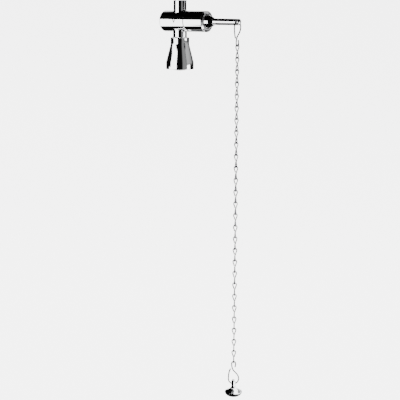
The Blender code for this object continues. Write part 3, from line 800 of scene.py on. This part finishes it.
def link_points():
    """A link's wire: round the upper loop, and then round the lower one, square to it."""
    half, r = LINK_HEIGHT / 2, 3.5 * MM
    waist = LINK_R + GAP / 2

    def strand(t):
        blend = (1 - math.cos(math.pi * t)) / 2
        return waist + (r - waist) * blend, (half - r) * (0.1 + 0.9 * t)

    steps = 7
    rising = [strand(i / steps) for i in range(steps)]
    loop = [(-a, h) for a, h in rising] + arc((0, half - r), r, 180, 0, 16)
    loop += [(a, h) for a, h in reversed(rising)]
    path = [Vector((a, 0, h - half)) for a, h in loop]
    path += [Vector((0, a, -h - half)) for a, h in reversed(loop)]
    return path


def chain():
    shapes = wire_mesh(link_points(), LINK_R, 12)
    top = UPPER_HOOK_TOP - HOOK_HEIGHT + HOOK_TOUCH
    for i in range(LINKS):
        form = shapes.copy()
        yaw = TWIST * i / (LINKS - 1)
        form.transform(Matrix.Translation((HANG_X, 0, top)) @ Matrix.Rotation(yaw, 4, "Z"))
        link = add_piece(f"link_wire_{i + 1:02d}", form, [SHADED_WIRE])
        put(crisp(link, 50), f"link_{i + 1:02d}", f"chain_link_{i + 1:02d}")
        top -= LINK_PITCH
    shapes.free()
    return top + LINK_PITCH - LINK_HEIGHT + HOOK_TOUCH


def pull_knob(hole_z):
    top, bottom, stem_r = -736.5 * MM, -771 * MM, 4 * MM
    rim_r, rim, flare = 17.2 * MM, -761.3 * MM, -750 * MM
    dome = arc((0, top - stem_r), stem_r, 90, 0, 12)
    dome[0] = (0, top)
    cone = bezier(
        (stem_r, flare),
        (stem_r + 0.5 * MM, flare - 5.5 * MM),
        (rim_r - 5 * MM, rim + 2.5 * MM),
        (rim_r - 0.5 * MM, rim + 0.4 * MM),
        24,
    )
    turn = bezier(
        (rim_r - 0.5 * MM, rim + 0.4 * MM),
        (rim_r - 0.15 * MM, rim + 0.2 * MM),
        (rim_r, rim - 0.1 * MM),
        (rim_r, rim - 0.6 * MM),
        6,
    )
    under = bezier(
        (rim_r, rim - 0.6 * MM), (rim_r - 0.5 * MM, rim - 5.5 * MM), (10 * MM, bottom), (5 * MM, bottom), 24
    )
    knob = lathe(
        "knob_turned",
        [*dome, (stem_r, flare), *cone, *turn, *under, (0, bottom)],
        [CHROME],
        96,
        axis_x=HANG_X,
    )
    across = Vector((math.cos(TWIST), math.sin(TWIST), 0)) * 2 * stem_r
    centre = Vector((HANG_X, 0, hole_z))
    combine(knob, "DIFFERENCE", bar("hole", 2.1 * MM, centre - across, centre + across, 40, CHROME))
    put(crisp(knob), "knob", "pull_knob")


# ---------------------------------------------------------------- shower head


def shower_bell():
    top, collar_r, collar = -70.8 * MM, 18.25 * MM, -84.3 * MM
    rim_r, rim, bottom = 27.15 * MM, -119 * MM, -132 * MM
    mouth_r, seat_r, seat = 24.5 * MM, 23 * MM, -124.5 * MM
    throat_r, shelf, gasket = 7 * MM, -80 * MM, -78 * MM
    room_r = 15 * MM
    outer = [(PIPE_BORE_R, top), (collar_r, top), (collar_r, collar), (rim_r, rim), (rim_r, bottom)]
    outline = [
        *soften(outer[:3], 2 * MM, 10),
        outer[3],
        *soften([outer[3], outer[4], (mouth_r, bottom)], 0.8 * MM, 6)[1:],
        (mouth_r, seat),
        (seat_r, seat),
        (seat_r, -119.5 * MM),
        (room_r, -85.5 * MM),
        (room_r, shelf),
        (throat_r, shelf),
        (throat_r, gasket),
        (PIPE_BORE_R, gasket),
    ]
    bell = lathe("bell_turned", outline, [CHROME], closed=True)
    put(crisp(bell, 24), "valve", "shower_bell")


def dome_height(r):
    dome = 51 * MM
    return -135 * MM + dome - math.sqrt(dome**2 - r**2)


def spray_plate():
    rim, thick = 24.2 * MM, 2.6 * MM
    radii = [rim * i / 14 for i in range(15)]
    upper = [(r, dome_height(r) + thick) for r in radii]
    lower = [(r, dome_height(r)) for r in reversed(radii)]
    plate = lathe("spray_plate_turned", upper + lower, [SATIN], 96)
    holes = []
    for ring, (radius, count) in enumerate(((8.5 * MM, 8), (16.5 * MM, 16))):
        for i in range(count):
            a = 2 * math.pi * (i + 0.5 * (ring % 2)) / count
            x, y = radius * math.cos(a), radius * math.sin(a)
            low = dome_height(radius) - 2 * MM
            holes.append(bar("hole", 1.1 * MM, (x, y, low), (x, y, low + thick + 4 * MM), 20, SATIN))
    combine(plate, "DIFFERENCE", *holes)
    put(crisp(plate), "valve", "spray_plate")


# ---------------------------------------------------------------- assembly


valve_body()
end_plug()
bonnet()
retaining_ring()
lever()
hook("upper_hook_wire", UPPER_HOOK_TOP, math.radians(90), "upper_hook", "upper_hook")
lower_top = chain()
hook("lower_hook_wire", lower_top - HOOK_HEIGHT, TWIST, "lower_hook", "lower_hook", flipped=True)
pull_knob(lower_top - HOOK_HEIGHT + 0.34 * MM)
shower_bell()
spray_plate()

KEPT = {
    CHROME: ("head_nipple",),
    BRASS: ("gland_nut", "flow_control", "valve_disc"),
    STEEL: ("closing_spring", "return_spring", "stem", "push_plate", "disc_nut"),
    RUBBER: (
        "end_plug_seal",
        "bonnet_seal",
        "gland_seal",
        "nipple_gasket",
        "spray_plate_seal",
        "seat_washer",
    ),
}
for finish, names in KEPT.items():
    for name in names:
        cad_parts[name].data.materials.clear()
        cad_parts[name].data.materials.append(finish)


# ---------------------------------------------------------------- stage, light and camera


BACKGROUND = 5.0
CARD = 5.5  # brightness of the white cards
BLACK = 0.0
VALVE_X = 0.03  # the cards that the valve mirrors are bent round this point
TOWARDS_CAMERA = (0.6018, -0.7986, 0.0)
RIGHT = (0.7986, 0.6018, 0.0)
EYE = (1.270, -1.621, -0.010)
AHEAD = (-0.5917, 0.7853, -0.1822)


def backdrop():
    """A pale floor that sweeps up all round."""
    floor_z, reach, bend, wall = -2.3, 9.0, 3.0, 14.0
    profile = [
        (0, floor_z),
        (reach - bend, floor_z),
        *arc((reach - bend, floor_z + bend), bend, -90, 0, 12)[1:],
        (reach, wall),
    ]
    form = bmesh.new()
    skin(form, turned_rings(form, profile, 72))
    paper = bpy.data.materials.new("paper")
    paper.use_nodes = True
    shader = paper.node_tree.nodes["Principled BSDF"]
    shader.inputs["Base Color"].default_value = (0.9, 0.9, 0.9, 1)
    shader.inputs["Roughness"].default_value = 0.9
    shader.inputs["Emission Color"].default_value = (1, 1, 1, 1)
    shader.inputs["Emission Strength"].default_value = BACKGROUND
    sweep = add_piece("floor", form, [paper])
    sweep.visible_glossy = False
    sweep.visible_diffuse = False
    sweep.visible_shadow = False


def studio():
    """The room that the chrome mirrors: cards and dark flats set by bearing and height."""
    world = bpy.data.worlds.new("studio")
    bpy.context.scene.world = world
    world.use_nodes = True
    tree = world.node_tree
    ground = tree.nodes["Background"]
    way = node(tree, "ShaderNodeTexCoord").outputs["Generated"]

    def along(axis):
        made = node(tree, "ShaderNodeVectorMath", operation="DOT_PRODUCT")
        tree.links.new(way, made.inputs[0])
        made.inputs[1].default_value = axis
        return made.outputs["Value"]

    bearing = maths(tree, "ARCTAN2", along(RIGHT), along(TOWARDS_CAMERA))
    height = maths(tree, "ARCSINE", maths(tree, "MINIMUM", along((0, 0, 1)), 0.9999))
    degree = math.radians(1)

    def rise(value, start, edge):
        return ramp(tree, value, (start - edge) * degree, (start + edge) * degree)

    def fall(value, end, edge):
        return ramp(tree, value, (end - edge) * degree, (end + edge) * degree, 1.0, 0.0)

    def patch(left, right, low, high, level, edge):
        """Light between two bearings and two heights, in degrees, with soft edges."""
        parts = []
        if left > -180:
            parts.append(rise(bearing, left, edge))
        if right < 180:
            parts.append(fall(bearing, right, edge))
        parts.append(rise(height, low, edge))
        parts.append(fall(height, high, edge))
        total = parts[0]
        for part in parts[1:]:
            total = maths(tree, "MULTIPLY", total, part)
        return maths(tree, "MULTIPLY", total, level)

    patches = [
        patch(24, 60, -60, 45, 0.28, 7),
        patch(60, 128, 8, 50, 0.6, 6),
        patch(60, 98, -60, 10, 0.4, 5),
        patch(100, 150, 20, 50, 0.25, 6),
        patch(4, 170, 52, 79, CARD, 3),
        patch(-180, -100, -62, -54, 0.4, 1.5),
        patch(150, 180, -30, 42, 1.2, 3),
        patch(-180, -150, -30, 42, 1.2, 3),
    ]
    total = patches[0]
    for one in patches[1:]:
        total = maths(tree, "MAXIMUM", total, one)
    room = maths(tree, "MAXIMUM", total, 0.004)
    tree.links.new(room, ground.inputs["Strength"])
    ground.inputs["Color"].default_value = (1, 1, 1, 1)


def flat(name, points, faces, strength):
    """A card or a flag that only reflections show."""
    mesh = bpy.data.meshes.new(name)
    mesh.from_pydata(points, [], faces)
    card = bpy.data.objects.new(name, mesh)
    bpy.context.scene.collection.objects.link(card)
    glow = bpy.data.materials.new(name)
    glow.use_nodes = True
    tree = glow.node_tree
    tree.nodes.clear()
    light = node(tree, "ShaderNodeEmission")
    light.inputs["Strength"].default_value = strength
    out = node(tree, "ShaderNodeOutputMaterial")
    tree.links.new(light.outputs[0], out.inputs["Surface"])
    mesh.materials.append(glow)
    card.visible_camera = False
    card.visible_diffuse = False
    card.visible_shadow = False


def curved_card(name, middle_x, reach, left, right, bottom, top, strength):
    """A card bent round the object, between two bearings from the camera's side."""
    points, faces = [], []
    steps = 24
    for i in range(steps + 1):
        a = math.radians(left + (right - left) * i / steps)
        way = Vector(TOWARDS_CAMERA) * math.cos(a) + Vector(RIGHT) * math.sin(a)
        points += [(middle_x + way.x * reach, way.y * reach, z) for z in (bottom, top)]
    for i in range(steps):
        faces.append((2 * i, 2 * i + 2, 2 * i + 3, 2 * i + 1))
    flat(name, points, faces, strength)


def disc(name, middle, facing, radius):
    """A round black flag."""
    turn = Vector(facing).to_track_quat("Z", "Y").to_matrix()
    rim = []
    for k in range(24):
        a = k * math.pi / 12
        rim.append(Vector(middle) + turn @ Vector((radius * math.cos(a), radius * math.sin(a), 0)))
    flat(name, rim, [tuple(range(24))], BLACK)


def cards():
    """Cards and flags by middle, reach, bearings from and to, lower and upper edge."""
    curved_card("card_left", VALVE_X, 0.65, -81, -30, -0.41, 0.12, CARD)
    curved_card("card_far_left", VALVE_X, 0.65, -97, -81, -0.58, 0.12, CARD)
    curved_card("flag_left", VALVE_X, 0.61, -101, -80, -0.112, 0.04, BLACK)
    curved_card("card_right", VALVE_X, 0.7, 63, 92, -0.4, -0.03, CARD)
    curved_card("card_low", HANG_X, 0.7, 8, 120, -1.015, -0.88, CARD)
    curved_card("card_knob", HANG_X, 0.3, 60, 138, -0.74, -0.4, CARD)
    curved_card("flag_knob", HANG_X, 0.25, -175, -20, -0.75, -0.5, BLACK)
    disc("flag_above", (0.05, 0, 0.12), (0, 0, 1), 0.22)
    disc("flag_ring", (0.176, 0.02, 0.007), (0.919, 0.246, 0.309), 0.05)


def camera():
    """A long lens from the front right, a little below the valve's top, with a slight roll."""
    shift, roll = 0.0017, math.radians(0.31)
    data = bpy.data.cameras.new("camera")
    data.lens = 94.5
    data.sensor_width = 36
    data.clip_end = 100
    eye = bpy.data.objects.new("camera", data)
    bpy.context.scene.collection.objects.link(eye)
    bpy.context.scene.camera = eye
    ahead = Vector(AHEAD).normalized()
    up = Vector(RIGHT).cross(ahead).normalized()
    right = ahead.cross(up)
    turn = Matrix((right, up, -ahead)).transposed().to_4x4()
    place = Vector(EYE) + right * shift
    eye.matrix_world = Matrix.Translation(place) @ turn @ Matrix.Rotation(roll, 4, "Z")


backdrop()
studio()
cards()
camera()
